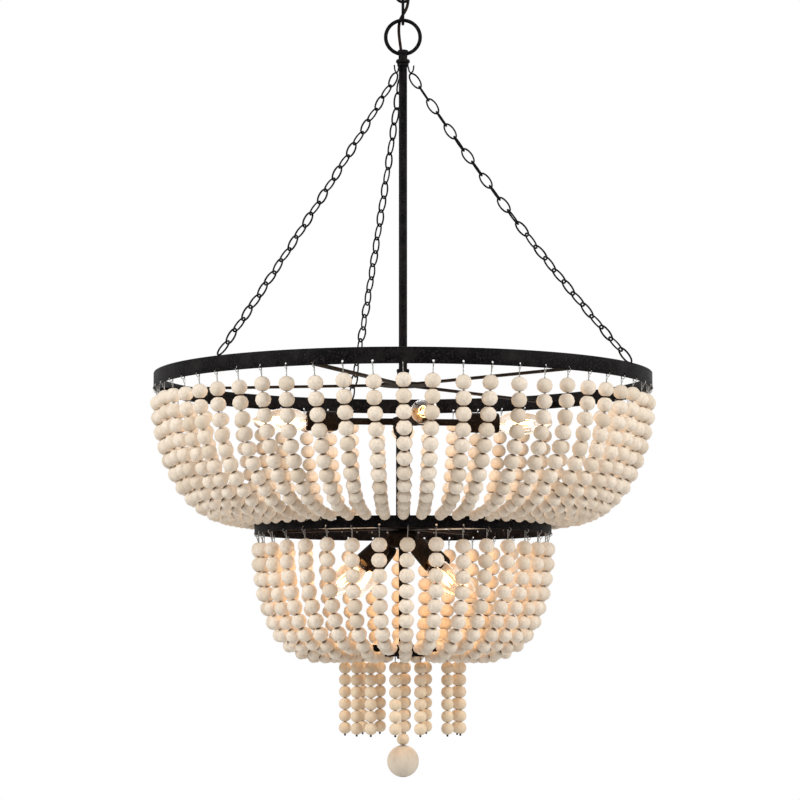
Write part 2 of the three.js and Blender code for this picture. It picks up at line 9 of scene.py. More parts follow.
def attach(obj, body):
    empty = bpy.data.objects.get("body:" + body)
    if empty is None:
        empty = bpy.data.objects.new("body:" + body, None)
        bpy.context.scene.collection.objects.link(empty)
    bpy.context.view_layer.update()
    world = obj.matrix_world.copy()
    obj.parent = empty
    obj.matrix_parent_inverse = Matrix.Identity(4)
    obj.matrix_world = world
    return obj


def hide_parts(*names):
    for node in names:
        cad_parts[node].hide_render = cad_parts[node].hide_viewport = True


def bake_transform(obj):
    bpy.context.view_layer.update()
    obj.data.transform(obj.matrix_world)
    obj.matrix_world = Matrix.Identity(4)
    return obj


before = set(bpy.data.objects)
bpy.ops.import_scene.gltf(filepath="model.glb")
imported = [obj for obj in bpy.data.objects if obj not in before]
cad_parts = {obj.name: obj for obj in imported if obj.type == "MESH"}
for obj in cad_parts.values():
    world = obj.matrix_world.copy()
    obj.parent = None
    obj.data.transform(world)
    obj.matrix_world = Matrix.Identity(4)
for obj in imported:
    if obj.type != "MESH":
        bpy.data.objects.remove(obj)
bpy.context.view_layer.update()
random.seed(11)
print("frame loaded")

# Camera

cameraSet = {"place": (0.0, -3.421, -0.9713), "tilt": 5.56, "turn": 0.065, "focal": 118.3}


def addCamera():
    tilt = math.radians(90 + cameraSet["tilt"])
    turn = math.radians(cameraSet["turn"])
    bpy.ops.object.camera_add(location=cameraSet["place"], rotation=(tilt, 0, turn))
    camera = bpy.context.object
    camera.data.lens = cameraSet["focal"]
    camera.data.sensor_width = 36
    camera.data.clip_end = 200
    bpy.context.scene.camera = camera


addCamera()
print("camera set")

# Small helpers for modelling


def deselectAll():
    if bpy.context.object and bpy.context.object.mode != "OBJECT":
        bpy.ops.object.mode_set(mode="OBJECT")
    bpy.ops.object.select_all(action="DESELECT")


def makeActive(piece):
    deselectAll()
    piece.select_set(True)
    bpy.context.view_layer.objects.active = piece


def applyPlace(piece):
    makeActive(piece)
    bpy.ops.object.transform_apply(location=True, rotation=True, scale=True)


def applyModifiers(piece):
    makeActive(piece)
    for modifier in list(piece.modifiers):
        bpy.ops.object.modifier_apply(modifier=modifier.name)


def shapeParts(piece, kind, wanted, operator, **values):
    # runs an operator of edit mode on the wanted vertices or faces alone
    makeActive(piece)
    bpy.ops.object.mode_set(mode="EDIT")
    bpy.ops.mesh.select_mode(type=kind)
    bpy.ops.mesh.select_all(action="DESELECT")
    bpy.ops.object.mode_set(mode="OBJECT")
    for part in piece.data.vertices if kind == "VERT" else piece.data.polygons:
        part.select = wanted(part)
    bpy.ops.object.mode_set(mode="EDIT")
    operator(**values)
    bpy.ops.object.mode_set(mode="OBJECT")


def insetFaces(piece, wanted, thickness, depth=0.0):
    shapeParts(piece, "FACE", wanted, bpy.ops.mesh.inset, thickness=thickness, depth=depth)


def cleanMesh(piece, distance=0.00001):
    makeActive(piece)
    bpy.ops.object.mode_set(mode="EDIT")
    bpy.ops.mesh.select_all(action="SELECT")
    bpy.ops.mesh.remove_doubles(threshold=distance)
    bpy.ops.mesh.normals_make_consistent(inside=False)
    bpy.ops.object.mode_set(mode="OBJECT")


def thicken(piece, wall):
    # a wall that grows inwards from the surface
    solid = piece.modifiers.new("wall", "SOLIDIFY")
    solid.thickness = wall
    solid.offset = -1
    applyModifiers(piece)


def smoothShade(piece, angle):
    makeActive(piece)
    bpy.ops.object.shade_smooth_by_angle(angle=math.radians(angle))


def roundEdges(piece, width, angle, smoothing):
    # bevels the edges sharper than an angle, then shades smooth up to another
    bevel = piece.modifiers.new("roundEdges", "BEVEL")
    bevel.width = width
    bevel.segments = 2
    bevel.limit_method = "ANGLE"
    bevel.angle_limit = math.radians(angle)
    applyModifiers(piece)
    smoothShade(piece, smoothing)


def startPiece(name, operator, **values):
    # adds a primitive by itself, with its place in its mesh
    deselectAll()
    operator(**values)
    piece = bpy.context.object
    piece.name = name
    applyPlace(piece)
    return piece


def addTube(radius, length, sides, height=0.0, ends="NGON"):
    return startPiece(
        "tube", bpy.ops.mesh.primitive_cylinder_add,
        vertices=sides, radius=radius, depth=length, end_fill_type=ends, location=(0, 0, height),
    )


def addBar(size, spot):
    return startPiece("bar", bpy.ops.mesh.primitive_cube_add, size=1, location=spot, scale=size)


def copied(source, matrix=Matrix()):
    copy = source.copy()
    copy.data = source.data.copy()
    bpy.context.collection.objects.link(copy)
    copy.matrix_world = matrix
    return copy


def joinPieces(pieces, name):
    deselectAll()
    for piece in pieces:
        piece.select_set(True)
    bpy.context.view_layer.objects.active = pieces[0]
    if len(pieces) > 1:
        bpy.ops.object.join()
    whole = bpy.context.object
    whole.name = name
    applyPlace(whole)
    return whole


def seated(model, matrix):
    # a copy of a model, turned and moved to its seat
    piece = copied(model, matrix)
    applyPlace(piece)
    return piece


def removePieces(*pieces):
    for piece in pieces:
        bpy.data.objects.remove(piece, do_unlink=True)


def paint(piece, material):
    piece.data.materials.clear()
    piece.data.materials.append(material)
    return piece


def place(piece, name, nodes=(), body="chandelier"):
    # hands a finished piece over to the body it moves with
    piece.name = name
    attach(piece, body)
    if nodes:
        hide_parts(*nodes)


def placeBronze(piece, name, node, body="chandelier", brown=False):
    paint(piece, brownBronze if brown else blackBronze)
    place(piece, name, [node], body)


def spinProfile(name, outline, sides, smoothing=35):
    # an outline of (radius, height) points turned once about the Z axis, smooth up to an angle
    piece = startPiece(name, bpy.ops.mesh.primitive_plane_add, size=0.001)
    bpy.ops.object.mode_set(mode="EDIT")
    bpy.ops.mesh.select_mode(type="VERT")
    bpy.ops.mesh.select_all(action="SELECT")
    bpy.ops.mesh.merge(type="CENTER")
    bpy.ops.transform.translate(value=(outline[0][0], 0, outline[0][1]))
    for (radius, height), (nextRadius, nextHeight) in zip(outline, outline[1:]):
        step = (nextRadius - radius, 0, nextHeight - height)
        bpy.ops.mesh.extrude_region_move(TRANSFORM_OT_translate={"value": step})
    bpy.ops.mesh.select_all(action="SELECT")
    bpy.ops.mesh.spin(steps=sides, angle=2 * math.pi, center=(0, 0, 0), axis=(0, 0, 1))
    bpy.ops.object.mode_set(mode="OBJECT")
    cleanMesh(piece)
    if smoothing:
        smoothShade(piece, smoothing)
    return piece


def bentWire(name, points, thickness, roundness=2, smooth=True, closed=False):
    # a round wire through the points, capped at both ends or joined into a ring
    deselectAll()
    line = bpy.data.curves.new(name, "CURVE")
    line.dimensions = "3D"
    line.bevel_depth = thickness / 2
    line.bevel_resolution = roundness
    line.use_fill_caps = True
    spline = line.splines.new("POLY")
    spline.use_cyclic_u = closed
    spline.points.add(len(points) - 1)
    for knot, point in zip(spline.points, points):
        knot.co = (*point, 1)
    wire = bpy.data.objects.new(name, line)
    bpy.context.collection.objects.link(wire)
    makeActive(wire)
    bpy.ops.object.convert(target="MESH")
    wire = bpy.context.object
    cleanMesh(wire, 0.000001)
    if smooth:
        smoothShade(wire, 50)
    return wire


def smoothLine(points, steps):
    # a smooth line through the points, with closer ones turned less sharply
    knots = [Vector(point) for point in points]
    ends = [2 * knots[0] - knots[1]] + knots + [2 * knots[-1] - knots[-2]]
    line = [knots[0].copy()]
    for i in range(1, len(knots)):
        a, b, c, d = ends[i - 1], ends[i], ends[i + 1], ends[i + 2]
        gapA, gapB, gapC = (max((q - p).length, 1e-9) ** 0.5 for p, q in ((a, b), (b, c), (c, d)))
        slopeB = ((b - a) / gapA - (c - a) / (gapA + gapB) + (c - b) / gapB) * gapB
        slopeC = ((c - b) / gapB - (d - b) / (gapB + gapC) + (d - c) / gapC) * gapB
        for step in range(1, steps + 1):
            t = step / steps
            cube = 2 * b - 2 * c + slopeB + slopeC
            square = -3 * b + 3 * c - 2 * slopeB - slopeC
            line.append(cube * t ** 3 + square * t ** 2 + slopeB * t + b)
    return line


def alongLine(line):
    # a function that gives the point at a distance along the line, and the line's length
    reach = [0.0]
    for p, q in zip(line, line[1:]):
        reach.append(reach[-1] + (q - p).length)

    def pointAt(distance):
        for i in range(1, len(line)):
            if distance <= reach[i] or i == len(line) - 1:
                span = max(reach[i] - reach[i - 1], 1e-12)
                return line[i - 1].lerp(line[i], (distance - reach[i - 1]) / span)

    return pointAt, reach[-1]


def turnAbout(degrees, axis="Z"):
    return Matrix.Rotation(math.radians(degrees), 4, axis)


def polar(radius, azimuth, height):
    angle = math.radians(azimuth)
    return Vector((radius * math.cos(angle), radius * math.sin(angle), height))


# Effects that several materials share


def newGroup(name, colours, numbers=()):
    # a finish that takes colours and numbers, and gives a colour, a roughness and a height
    group = bpy.data.node_groups.new(name, "ShaderNodeTree")
    sockets = [("INPUT", label, "Color") for label in colours]
    sockets += [("INPUT", label, "Float") for label in numbers]
    sockets += [("OUTPUT", "Color", "Color"), ("OUTPUT", "Roughness", "Float"), ("OUTPUT", "Height", "Float")]
    for side, label, kind in sockets:
        group.interface.new_socket(name=label, in_out=side, socket_type="NodeSocket" + kind)
    return group, group.nodes, group.nodes.new("NodeGroupInput"), group.nodes.new("NodeGroupOutput")


def feed(source, socket):
    # links another node's output to the socket, or sets a plain value on it
    if isinstance(source, bpy.types.NodeSocket):
        socket.id_data.links.new(source, socket)
    else:
        socket.default_value = source


def addNode(nodes, kind, sources=None, **settings):
    node = nodes.new(kind)
    for name, value in settings.items():
        setattr(node, name, value)
    for name, source in (sources or {}).items():
        feed(source, node.inputs[name])
    return node


def ownPlace(nodes):
    return nodes.new("ShaderNodeTexCoord").outputs["Object"]


def addNoise(nodes, where, scale, detail, roughness=0.55, distortion=0.0):
    return addNode(nodes, "ShaderNodeTexNoise", {
        "Vector": where, "Scale": scale, "Detail": detail, "Roughness": roughness, "Distortion": distortion,
    }).outputs["Fac"]


def addRange(nodes, value, low, high, newLow, newHigh, **settings):
    sources = {"Value": value, "From Min": low, "From Max": high, "To Min": newLow, "To Max": newHigh}
    return addNode(nodes, "ShaderNodeMapRange", sources, **settings).outputs["Result"]


def addMath(nodes, operation, first, second=0.0):
    return addNode(nodes, "ShaderNodeMath", {0: first, 1: second}, operation=operation).outputs["Value"]


def addMix(nodes, factor, first, second):
    # 6 and 7 are the node's two colours, and 2 is the colour that it gives
    sources = {"Factor": factor, 6: first, 7: second}
    return addNode(nodes, "ShaderNodeMix", sources, data_type="RGBA").outputs[2]


# what a noise or a distance does: from low, from high, to low, to high
metalSet = {
    "grainScale": 420, "patchScale": 38,
    "wear": (0.5, 0.8, 0, 0.4), "speck": (0.53, 0.75, 0, 1), "roughness": (0.3, 0.7, 0.42, 0.66),
}
woodSet = {
    "grainScale": 3.2, "grainAlong": 2.2, "beadShift": 40,
    # the crevice range and its colour are painted shade where the beads touch, and the hole colour is painted
    # shade inside each hole
    "lines": (0.42, 0.72, 0, 1), "warmth": (0.15, 1, 0, 0.75), "creviceShade": (0.07, 0.15, 0.9, 0),
    "roughness": (0.3, 0.7, 0.55, 0.8),
    "creviceShadeColour": (0.2, 0.13, 0.075, 1), "holeShadeColour": (0.045, 0.028, 0.018, 1),
}


def forgedMetalEffect():
    # fine grain all over, with broad patches where the finish is worn or dusty
    group, nodes, start, end = newGroup("forgedMetal", ("Deep", "Worn"))
    where = ownPlace(nodes)
    grain = addNoise(nodes, where, metalSet["grainScale"], 5, 0.65)
    patches = addNoise(nodes, where, metalSet["patchScale"], 5, 0.6, 0.4)
    wear = addRange(nodes, patches, *metalSet["wear"])
    speck = addRange(nodes, grain, *metalSet["speck"])
    both = addMath(nodes, "MAXIMUM", wear, speck)
    feed(addMix(nodes, both, start.outputs["Deep"], start.outputs["Worn"]), end.inputs["Color"])
    feed(addRange(nodes, grain, *metalSet["roughness"]), end.inputs["Roughness"])
    feed(grain, end.inputs["Height"])
    return group


def turnedWoodEffect():
    # grain that runs along a bead from hole to hole, a tone of its own for each bead, painted shade that
    # darkens towards each hole where the beads touch, and the hole itself painted dark as shade
    group, nodes, start, end = newGroup("turnedWood", ("Pale", "Grain", "Warm"), ("Hole", "Around"))
    wrap = addNode(nodes, "ShaderNodeUVMap", uv_map="UVMap")
    split = addNode(nodes, "ShaderNodeSeparateXYZ", {"Vector": wrap.outputs["UV"]})
    around, along = split.outputs["X"], split.outputs["Y"]
    tone = addNode(nodes, "ShaderNodeAttribute", attribute_name="beadTone").outputs["Fac"]
    grainPlace = addNode(nodes, "ShaderNodeCombineXYZ", {
        "X": addMath(nodes, "MULTIPLY", around, start.outputs["Around"]),
        "Y": addMath(nodes, "MULTIPLY", along, woodSet["grainAlong"]),
        "Z": addMath(nodes, "MULTIPLY", tone, woodSet["beadShift"]),
    })
    grain = addNoise(nodes, grainPlace.outputs["Vector"], woodSet["grainScale"], 5, 0.65, 0.5)
    lines = addRange(nodes, grain, *woodSet["lines"])
    grained = addMix(nodes, lines, start.outputs["Pale"], start.outputs["Grain"])
    warmth = addRange(nodes, tone, *woodSet["warmth"])
    toned = addMix(nodes, warmth, grained, start.outputs["Warm"])
    # distance from the nearer hole, as a share of the bead's length
    fromMiddle = addMath(nodes, "ABSOLUTE", addMath(nodes, "SUBTRACT", along, 0.5))
    toHole = addMath(nodes, "SUBTRACT", 0.5, fromMiddle)
    # painted shade, darkening the wood towards each hole where the beads touch
    creviceShade = addRange(nodes, toHole, *woodSet["creviceShade"])
    shaded = addMix(nodes, creviceShade, toned, woodSet["creviceShadeColour"])
    # painted shade: the hole is drawn as a dark disc in place of a shaded bore
    inHole = addMath(nodes, "LESS_THAN", toHole, start.outputs["Hole"])
    feed(addMix(nodes, inHole, shaded, woodSet["holeShadeColour"]), end.inputs["Color"])
    feed(addRange(nodes, grain, *woodSet["roughness"]), end.inputs["Roughness"])
    feed(grain, end.inputs["Height"])
    return group


forgedMetal = forgedMetalEffect()
turnedWood = turnedWoodEffect()


def newMaterial(name, values):
    # a material, its nodes, and its shader with the plain values set
    material = bpy.data.materials.new(name)
    material.use_nodes = True
    shader = material.node_tree.nodes["Principled BSDF"]
    for label, value in values.items():
        shader.inputs[label].default_value = value
    return material, material.node_tree.nodes, shader


def addBump(nodes, shader, height, strength, distance):
    bump = addNode(nodes, "ShaderNodeBump", {"Strength": strength, "Distance": distance, "Height": height})
    feed(bump.outputs["Normal"], shader.inputs["Normal"])


def useEffect(nodes, shader, effect, sources, strength, distance):
    group = addNode(nodes, "ShaderNodeGroup", node_tree=effect)
    for label, source in sources.items():
        feed(source, group.inputs[label])
    feed(group.outputs["Color"], shader.inputs["Base Color"])
    feed(group.outputs["Roughness"], shader.inputs["Roughness"])
    addBump(nodes, shader, group.outputs["Height"], strength, distance)


def metalFinish(name, deep, worn, metallic, specular, strength=0.5):
    material, nodes, shader = newMaterial(name, {"Metallic": metallic, "Specular IOR Level": specular})
    useEffect(nodes, shader, forgedMetal, {"Deep": (*deep, 1), "Worn": (*worn, 1)}, strength, 0.0004)
    return material


def beadFinish(name, pale, grain, warm, hole, around):
    material, nodes, shader = newMaterial(name, {"Specular IOR Level": 0.3})
    sources = {"Pale": (*pale, 1), "Grain": (*grain, 1), "Warm": (*warm, 1), "Hole": hole, "Around": around}
    useEffect(nodes, shader, turnedWood, sources, 0.08, 0.0003)
    return material


braidSet = {"lean": 40, "scale": 260, "waver": 0.6, "bump": 0.5, "depth": 0.0003}
glassSet = {"streakScale": 90, "edge": (0, 0.8, 0.4, 1)}


def braidedCord(name, light, dark):
    # two sets of strands that cross
    material, nodes, shader = newMaterial(name, {"Roughness": 0.8, "Specular IOR Level": 0.12})
    waves = []
    for lean in (braidSet["lean"], -braidSet["lean"]):
        sources = {"Vector": ownPlace(nodes), "Rotation": (0, math.radians(lean), 0)}
        turned = addNode(nodes, "ShaderNodeMapping", sources).outputs["Vector"]
        sources = {"Vector": turned, "Scale": braidSet["scale"], "Distortion": braidSet["waver"]}
        waves.append(addNode(nodes, "ShaderNodeTexWave", sources, bands_direction="X").outputs["Fac"])
    crossing = addMath(nodes, "MULTIPLY", *waves)
    feed(addMix(nodes, crossing, (*dark, 1), (*light, 1)), shader.inputs["Base Color"])
    addBump(nodes, shader, crossing, braidSet["bump"], braidSet["depth"])
    return material


def clearGlass(name, tint, pale):
    material, nodes, shader = newMaterial(name, {
        "Roughness": 0.02, "IOR": 1.06, "Transmission Weight": 1, "Coat Weight": 1, "Coat Roughness": 0.04,
    })
    edge = addNode(nodes, "ShaderNodeLayerWeight", {"Blend": 0.4}).outputs["Facing"]
    feed(addRange(nodes, edge, *glassSet["edge"]), shader.inputs["Alpha"])
    streak = addNoise(nodes, ownPlace(nodes), glassSet["streakScale"], 2)
    feed(addMix(nodes, streak, (*tint, 1), (*pale, 1)), shader.inputs["Base Color"])
    return material


def glowing(name, colour, hot, strength):
    material, nodes, shader = newMaterial(name, {"Emission Strength": strength})
    flicker = addNoise(nodes, ownPlace(nodes), 300, 2)
    glow = addMix(nodes, flicker, (*colour, 1), (*hot, 1))
    for label in ("Base Color", "Emission Color"):
        feed(glow, shader.inputs[label])
    return material


blackBronze = metalFinish("blackBronze", (0.0012, 0.001, 0.0011), (0.045, 0.036, 0.037), 0.0, 0.04)
brownBronze = metalFinish("brownBronze", (0.007, 0.0045, 0.003), (0.06, 0.033, 0.018), 0.0, 0.03)
wireMetal = metalFinish("wireMetal", (0.24, 0.23, 0.21), (0.5, 0.48, 0.46), 1.0, 0.5, 0.2)
lampBrass = metalFinish("lampBrass", (0.42, 0.26, 0.09), (0.65, 0.45, 0.2), 1.0, 0.5, 0.2)
beadWood = beadFinish("beadWood", (0.84, 0.735, 0.61), (0.67, 0.56, 0.435), (0.64, 0.525, 0.395), 0.045, 6)
dropWood = beadFinish("dropWood", (0.77, 0.62, 0.445), (0.65, 0.5, 0.335), (0.68, 0.52, 0.355), 0.045, 6)
ballWood = beadFinish("ballWood", (0.68, 0.585, 0.47), (0.6, 0.505, 0.39), (0.62, 0.52, 0.405), 0.022, 12)
cordBraid = braidedCord("cordBraid", (0.035, 0.013, 0.006), (0.006, 0.003, 0.002))
lampGlass = clearGlass("lampGlass", (0.93, 0.6, 0.28), (1, 0.94, 0.84))
filamentGlow = glowing("filamentGlow", (1.0, 0.5, 0.14), (1, 0.86, 0.6), 5)
print("materials made")

# Supply cord, from the canopy through the links to the cup

supplyCord = {
    "diameter": 0.004,
    "points": [
        (0.014, 0, -0.014), (0.014, 0, -0.035), (0.0133, 0.0008, -0.045), (0.0113, 0.0026, -0.055),
        (0.0093, 0.0044, -0.065), (0.008, 0.0054, -0.074), (0.0075, 0.0057, -0.084),
        (0.0075, 0.0057, -0.094), (0.0071, 0.0056, -0.103), (0.0059, 0.0051, -0.111),
        (0.0034, 0.0046, -0.118), (-0.0004, 0.0044, -0.1245), (-0.0038, 0.0051, -0.131),
        (-0.0052, 0.0055, -0.138), (-0.0054, 0.0042, -0.147), (-0.0047, 0.002, -0.156),
        (-0.0036, 0.0005, -0.165), (-0.0026, 0, -0.1727),
    ],
    "cuts": [-0.063, -0.0927, -0.1224],
    "bodies": ["canopy", "suspension_link_1", "suspension_link_2", "suspension_link_3", "chandelier"],
    "pivots": [-0.0482, -0.0779, -0.1076, -0.1373],
    "bendHalf": 0.011,
}


def addSupplyCord():
    # one length for each joint that the cord passes, cut at heights between the joints
    whole = bentWire("supplyCord", smoothLine(supplyCord["points"], 6), supplyCord["diameter"], 4)
    limits = [0.1] + supplyCord["cuts"] + [-0.3]
    for i, pivot in enumerate(supplyCord["pivots"]):
        length = copied(whole)
        for height, clearsAbove in ((limits[i], True), (limits[i + 1], False)):
            makeActive(length)
            bpy.ops.object.mode_set(mode="EDIT")
            bpy.ops.mesh.select_all(action="SELECT")
            bpy.ops.mesh.bisect(
                plane_co=(0, 0, height), plane_no=(0, 0, 1), use_fill=True,
                clear_outer=clearsAbove, clear_inner=not clearsAbove,
            )
            bpy.ops.object.mode_set(mode="OBJECT")
        cleanMesh(length, 0.000001)
        smoothShade(length, 50)
        paint(length, cordBraid)
        length.name = "supply_cord_%d" % (i + 1)
        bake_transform(length)
        if i == 0:
            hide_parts("power_cord")
    removePieces(whole)


addSupplyCord()
print("cord made")

# Ceiling fixings

canopySet = {
    "outline": [
        (0, -0.025), (0.03, -0.025), (0.043, -0.0248), (0.0485, -0.0235), (0.0535, -0.0208),
        (0.0572, -0.0168), (0.0598, -0.0122), (0.0617, -0.0082), (0.0632, -0.0052), (0.0635, -0.0035),
        (0.0635, -0.0001),
    ],
    "wall": 0.0012, "sides": 96, "edge": 0.0003, "step": 0.0012, "stepDepth": -0.0004,
}
barSet = {"length": 0.11, "width": 0.025, "thickness": 0.0025, "edge": 0.0006}
screwSet = {
    "spacing": 0.076, "shank": 0.002, "head": 0.005, "top": -0.0253, "height": 0.005, "inner": -0.0028,
}
loopSet = {
    "nipple": 0.005, "top": -0.0028, "flange": 0.009, "flangeTop": -0.0253, "flangeFoot": -0.0287,
    "edge": 0.0006, "radius": 0.009, "wire": 0.004, "centre": -0.0392,
}


def wireRing(name, radius, wire, stretch=0.0, around=48, across=14):
    # a ring of round wire in the XZ plane, drawn out along Z into a link
    ring = startPiece(
        name, bpy.ops.mesh.primitive_torus_add, major_radius=radius, minor_radius=wire / 2,
        major_segments=around, minor_segments=across, rotation=(math.radians(90), 0, 0),
    )
    if stretch:
        for side in (1, -1):
            step = (0, 0, side * stretch / 2)
            shapeParts(
                ring, "VERT", lambda vertex: side * vertex.co.z > 0.00001,
                bpy.ops.transform.translate, value=step,
            )
    smoothShade(ring, 60)
    return ring


def addCanopy():
    shell = spinProfile("canopyShell", canopySet["outline"], canopySet["sides"], 0)
    thicken(shell, canopySet["wall"])
    # a shallow step round the loop's flange
    reach = canopySet["outline"][1][0]
    insetFaces(
        shell, lambda face: face.normal.z < -0.999 and face.center.xy.length < reach,
        canopySet["step"], canopySet["stepDepth"],
    )
    roundEdges(shell, canopySet["edge"], 50, 35)
    placeBronze(shell, "canopy_shell", "canopy", "canopy")


def addMountingBar():
    thickness = barSet["thickness"]
    bar = addBar((barSet["length"], barSet["width"], thickness), (0, 0, -thickness / 2))
    roundEdges(bar, barSet["edge"], 40, 40)
    placeBronze(bar, "ceiling_bar", "mounting_bar", "canopy")


def addCanopyScrews():
    head, shank, top = screwSet["head"], screwSet["shank"], screwSet["top"]
    foot = top - screwSet["height"]
    outline = [
        (0, foot), (head * 0.35, foot + 0.0001), (head * 0.7, foot + 0.0007),
        (head * 0.92, foot + 0.0018), (head, foot + 0.0032), (head, top), (shank, top),
        (shank, screwSet["inner"]), (0, screwSet["inner"]),
    ]
    for side, name in ((-1, "left"), (1, "right")):
        screw = spinProfile("canopyScrew", outline, 32)
        screw.location.x = side * screwSet["spacing"] / 2
        applyPlace(screw)
        placeBronze(screw, "cap_screw_" + name, "canopy_screw_" + name, "canopy")


def addCanopyLoop():
    loop = wireRing("loopWire", loopSet["radius"], loopSet["wire"])
    loop.location.z = loopSet["centre"]
    foot, top, edge = loopSet["flangeFoot"], loopSet["flangeTop"], loopSet["edge"]
    flange, nipple = loopSet["flange"], loopSet["nipple"]
    stem = spinProfile("loopStem", [
        (0, foot - 0.0028), (0.0032, foot - 0.0026), (0.0046, foot - 0.0012), (0.0055, foot),
        (flange - edge, foot), (flange, foot + edge), (flange, top - edge), (flange - edge, top),
        (nipple, top), (nipple, loopSet["top"]), (0, loopSet["top"]),
    ], 48)
    placeBronze(joinPieces([loop, stem], "canopyLoop"), "canopy_hang_loop", "canopy_loop", "canopy")


linkSet = {"wire": 0.004, "width": 0.022, "length": 0.038, "centres": [-0.0609, -0.0906, -0.1203]}


def addSuspensionLinks():
    radius = (linkSet["width"] - linkSet["wire"]) / 2
    for i, height in enumerate(linkSet["centres"]):
        link = wireRing("link", radius, linkSet["wire"], linkSet["length"] - linkSet["width"])
        link.location.z = height
        link.rotation_euler.z = 0 if i % 2 else math.radians(90)
        applyPlace(link)
        node = "suspension_link_%d" % (i + 1)
        placeBronze(link, "hanging_link_%d" % (i + 1), node, node)


addCanopy()
addMountingBar()
addCanopyScrews()
addCanopyLoop()
addSuspensionLinks()
print("ceiling set made")

# Top ring with its cup, the collar, the rod and the chain hooks

ringSet = {"radius": 0.0228, "wire": 0.005, "centre": -0.1553}
cupOutline = [
    (0, -0.1849), (0.00585, -0.1849), (0.00585, -0.1792), (0.0062, -0.1786), (0.0068, -0.1781),
    (0.007, -0.1775), (0.007, -0.1738), (0.0066, -0.1732), (0.0058, -0.173), (0.0026, -0.173),
    (0.0022, -0.1734), (0, -0.1736),
]
collarOutline = [
    (0.0056, -0.1908), (0.0072, -0.1907), (0.0084, -0.1902), (0.0091, -0.1893), (0.0093, -0.188),
    (0.0091, -0.1867), (0.0084, -0.1858), (0.0072, -0.1853), (0.0056, -0.1852), (0.0056, -0.1908),
]
rodSet = {"radius": 0.0055, "top": -0.1852, "foot": -0.9709, "edge": 0.0006}


def addTopRing():
    ring = wireRing("ringWire", ringSet["radius"], ringSet["wire"], around=72, across=16)
    ring.location.z = ringSet["centre"]
    cup = spinProfile("ringCup", cupOutline, 40)
    placeBronze(joinPieces([ring, cup], "topRing"), "ring_and_cup", "top_ring")
    placeBronze(spinProfile("collar", collarOutline, 40), "turned_collar", "top_collar")


def addRod():
    length = rodSet["top"] - rodSet["foot"]
    rod = addTube(rodSet["radius"], length, 32, rodSet["foot"] + length / 2)
    insetFaces(rod, lambda face: abs(face.normal.z) > 0.9, 2 * rodSet["edge"])
    roundEdges(rod, rodSet["edge"], 50, 40)
    placeBronze(rod, "middle_rod", "centre_rod")


chainHookSet = {
    "azimuths": [226.2, 331.2, 103.2],
    "start": (0.0066, -0.1929),
    "tip": (0.0165, -0.2045),
    "shares": [(0, 0), (0.18, 0.45), (0.33, 0.86), (0.55, 1), (0.84, 0.84), (1, 0.2)],
    "wire": 0.002,
    "washer": [(0.0057, -0.1947), (0.007, -0.1947), (0.0076, -0.1941), (0.0076, -0.1917), (0.007, -0.1911),
               (0.0057, -0.1911), (0.0057, -0.1947)],
}


def addChainHooks():
    (startRadius, startHeight), (tipRadius, seatHeight) = chainHookSet["start"], chainHookSet["tip"]
    hooks = [spinProfile("hookWasher", chainHookSet["washer"], 40)]
    for azimuth in chainHookSet["azimuths"]:
        line = []
        for across, down in chainHookSet["shares"]:
            radius = startRadius + (tipRadius - startRadius) * across
            line.append(polar(radius, azimuth, startHeight + (seatHeight - startHeight) * down))
        hooks.append(bentWire("hookWire", smoothLine(line, 5), chainHookSet["wire"], 3))
    placeBronze(joinPieces(hooks, "chainHooks"), "wire_hooks", "chain_hooks")


chainSet = {
    "chains": [
        {"side": "left", "azimuth": 226.2, "twist": (42, 50), "sag": 0.007},
        {"side": "right", "azimuth": 331.2, "twist": (0, 45), "sag": 0.012},
        {"side": "back", "azimuth": 103.2, "twist": (52, 40), "sag": 0.012},
    ],
    "links": 24,
    "top": (0.01205, -0.2069),
    "foot": (0.32375, -0.60424),
    "wire": 0.0024, "width": 0.0132, "sides": 20, "lean": 6,
    "twistFrom": 0.4, "twistOver": 0.3,  # where the links turn, as shares of the chain
}


def modelChainLink(length):
    across, along = (chainSet["width"] - chainSet["wire"]) / 2, (length - chainSet["wire"]) / 2
    oval = []
    for i in range(chainSet["sides"]):
        angle = math.radians(360 / chainSet["sides"] * i)
        oval.append((across * math.cos(angle), 0, along * math.sin(angle)))
    return bentWire("chainLink", oval, chainSet["wire"], 1, True, True)


def addChain(chain):
    side, azimuth, (startTwist, endTwist) = chain["side"], chain["azimuth"], chain["twist"]
    top = polar(chainSet["top"][0], azimuth, chainSet["top"][1])
    foot = polar(chainSet["foot"][0], azimuth, chainSet["foot"][1])
    joints = []
    for i in range(chainSet["links"] + 1):
        t = i / chainSet["links"]
        joint = top.lerp(foot, t)
        joint.z -= 4 * chain["sag"] * t * (1 - t)
        joints.append(joint)
    model = modelChainLink((joints[1] - joints[0]).length + 2 * chainSet["wire"])
    links = []
    for i, (upper, lower) in enumerate(zip(joints, joints[1:])):
        t = i / chainSet["links"]
        along = (lower - upper).normalized()
        # a link that isn't turned lies flat to the view, and every other link stands crosswise
        flat = along.cross(Vector((0, 1, 0))).normalized()
        late = max(0.0, min(1.0, (t - chainSet["twistFrom"]) / chainSet["twistOver"]))
        lean = random.uniform(-chainSet["lean"], chainSet["lean"])
        roll = math.radians(90 * (i % 2) + startTwist + (endTwist - startTwist) * late + lean)
        flat = flat @ Matrix.Rotation(roll, 3, along)
        axes = Matrix((flat, along.cross(flat), along)).transposed().to_4x4()
        links.append(copied(model, Matrix.Translation((upper + lower) / 2) @ axes))
    removePieces(model)
    whole = joinPieces(links, "chainLinks")
    smoothShade(whole, 60)
    placeBronze(whole, "guy_chain_" + side, "chain_" + side)


addTopRing()
addRod()
addChainHooks()
for chain in chainSet["chains"]:
    addChain(chain)
print("rod and chains made")

# Hoops with the holes that the strands hook into, and their spokes

